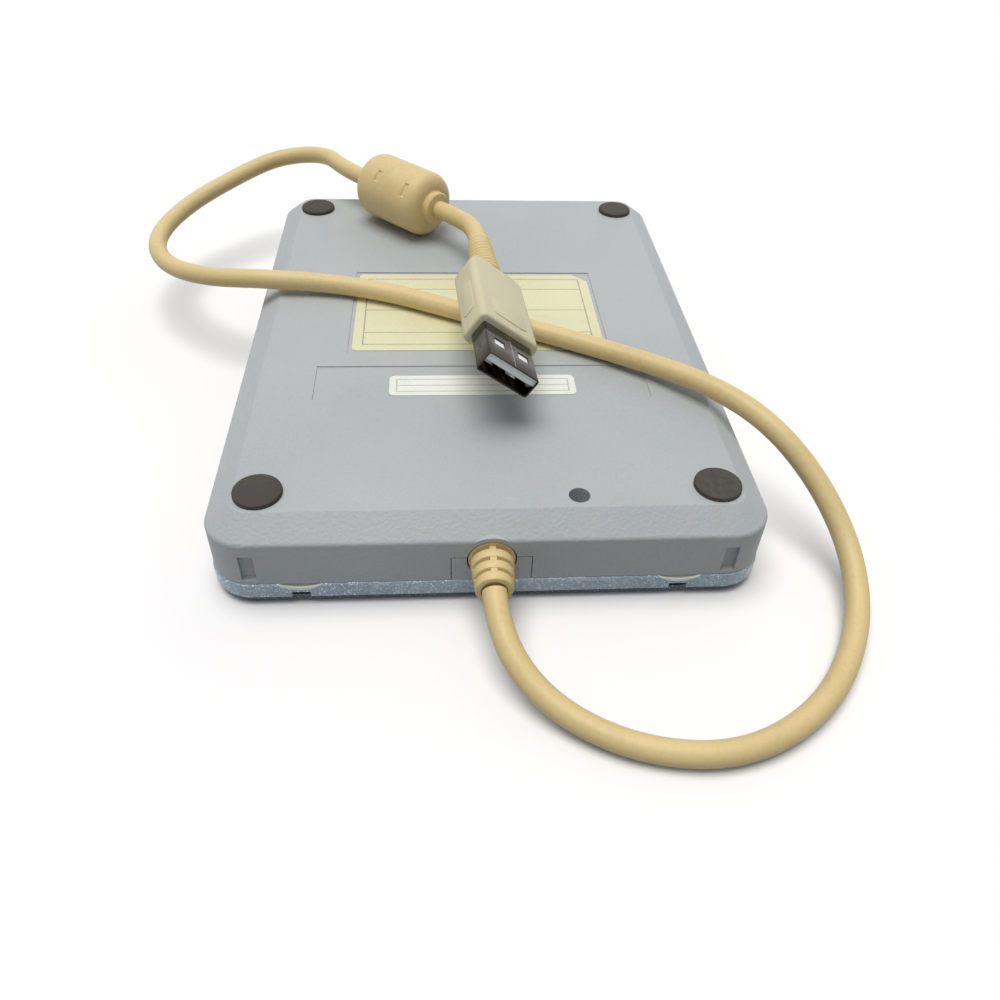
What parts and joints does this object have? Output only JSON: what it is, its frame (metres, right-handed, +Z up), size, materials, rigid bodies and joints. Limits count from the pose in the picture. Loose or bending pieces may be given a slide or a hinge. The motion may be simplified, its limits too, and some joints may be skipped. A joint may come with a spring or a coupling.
{
  "type": "external floppy disk drive",
  "caption": "Slim portable floppy disk drive lying upside down, with a moulded cord, ferrite and rectangular data plug.",
  "frame": {"origin": "centre of the outer face of the top cover, which the drive lies on, below the middle of the casing", "axes": "+X to the right seen from the cord end, +Y from the cord end to the disk slot, +Z up through the bottom panel, because the drive lies upside down"},
  "size_m": [0.1566, 0.1929, 0.038],
  "materials": {
    "case_grey": "fine moulded texture",
    "band_silver": "silver-blue metallic flake",
    "cover_navy": "dark navy metallic flake",
    "foot_rubber": "soft matte",
    "label_paper": "matte printed paper",
    "label_white": "matte printed paper",
    "cord_tan": "satin soft plastic",
    "plug_beige": "satin soft plastic",
    "bright_steel": "bright",
    "sheet_steel": "zinc plated sheet",
    "insulator_white": "moulded",
    "contact_gold": "plated",
    "mech_black": "moulded",
    "winding_copper": "varnished wire on a core",
    "board_green": "solder mask",
    "flex_amber": "thin film",
    "ferrite_grey": "sintered",
    "lens_green": "translucent"
  },
  "bodies": {
    "drive": {"base_case": "case_grey", "cable_entry_cover": "case_grey", "cable_harness": "flex_amber", "cable_socket": "insulator_white", "case_screw": "bright_steel", "chassis": "sheet_steel", "chassis_screw_1": "bright_steel", "chassis_screw_2": "bright_steel", "controller_board": "board_green", "controller_chip": "mech_black", "cord_long": "cord_tan", "cord_short": "cord_tan", "disk_switch_1": "mech_black", "disk_switch_2": "mech_black", "eject_spring_1": "bright_steel", "eject_spring_2": "bright_steel", "ferrite_core": "ferrite_grey", "ferrite_housing": "cord_tan", "foot_1": "foot_rubber", "foot_2": "foot_rubber", "foot_3": "foot_rubber", "foot_4": "foot_rubber", "front_bezel": "case_grey", "guide_rail": "bright_steel", "latch_pin": "bright_steel", "led_lens": "lens_green", "mech_shield": "sheet_steel", "motor_base": "sheet_steel", "motor_flex": "flex_amber", "plug_body": "plug_beige", "plug_boot": "cord_tan", "plug_contacts": "contact_gold", "plug_insulator": "insulator_white", "plug_shell": "bright_steel", "rail_clip_front": "mech_black", "rail_clip_rear": "mech_black", "rating_label": "label_paper", "screw_bearing": "mech_black", "serial_label": "label_white", "stator": "winding_copper", "stepper_motor": "sheet_steel", "strain_relief": "cord_tan", "top_cover": "cover_navy", "trim_frame": "band_silver"},
    "slide": {"eject_slide": "sheet_steel", "eject_button": "case_grey"},
    "cage": {"disk_cage": "sheet_steel"},
    "carriage": {"head_carriage": "mech_black", "lower_head": "mech_black", "arm_pin": "bright_steel"},
    "arm": {"head_arm": "sheet_steel", "upper_head": "mech_black"},
    "lever": {"latch_lever": "mech_black"},
    "flap": {"slot_flap": "case_grey"},
    "spindle": {"rotor_hub": "sheet_steel", "drive_pin": "bright_steel"},
    "leadscrew": {"lead_screw": "bright_steel"},
    "plunger_left": {"switch_plunger_1": "mech_black"},
    "plunger_right": {"switch_plunger_2": "mech_black"}
  },
  "joints": [
    {"name": "eject_slide", "type": "slide", "parent": "drive", "child": "slide", "axis": [0, 1, 0], "range_m": [0, 0.006], "deforming": ["eject_spring_1", "eject_spring_2"]},
    {"name": "cage_drop", "type": "slide", "parent": "drive", "child": "cage", "axis": [0, 0, 1], "range_m": [0, 0.0022]},
    {"name": "latch_turn", "type": "hinge", "parent": "drive", "child": "lever", "pos_m": [0.036, -0.038, 0.01], "axis": [0, 0, 1], "range_deg": [0, 35.1]},
    {"name": "carriage_step", "type": "slide", "parent": "drive", "child": "carriage", "axis": [0, 1, 0], "range_m": [0, 0.0148]},
    {"name": "leadscrew_turn", "type": "hinge", "parent": "drive", "child": "leadscrew", "pos_m": [-0.015, -0.04, 0.0093], "axis": [0, 1, 0], "range_deg": [0, 1421]},
    {"name": "arm_swing", "type": "hinge", "parent": "carriage", "child": "arm", "pos_m": [0, -0.0491, 0.008], "axis": [1, 0, 0], "range_deg": [0, 8.82]},
    {"name": "spindle_spin", "type": "hinge", "parent": "drive", "child": "spindle", "pos_m": [0, 0.019, 0.0145], "axis": [0, 0, 1], "continuous": true},
    {"name": "flap_turn", "type": "hinge", "parent": "drive", "child": "flap", "pos_m": [0, 0.0676, 0.0061], "axis": [1, 0, 0], "range_deg": [0, 85], "stiffness_Nm_per_rad": 0.0005, "springref_deg": -20.05},
    {"name": "write_protect_press", "type": "slide", "parent": "drive", "child": "plunger_left", "axis": [0, 0, 1], "range_m": [0, 0.0007], "stiffness_N_per_m": 20, "springref_m": -0.001},
    {"name": "density_press", "type": "slide", "parent": "drive", "child": "plunger_right", "axis": [0, 0, 1], "range_m": [0, 0.0007], "stiffness_N_per_m": 20, "springref_m": -0.001}
  ],
  "couplings": [
    {"joint": "cage_drop", "follows": "eject_slide", "ratio": 0.36667},
    {"joint": "latch_turn", "follows": "eject_slide", "rad_per_m": 101.8},
    {"joint": "arm_swing", "follows": "eject_slide", "rad_per_m": 25.6},
    {"joint": "leadscrew_turn", "follows": "carriage_step", "rad_per_m": 1675.5}
  ]
}
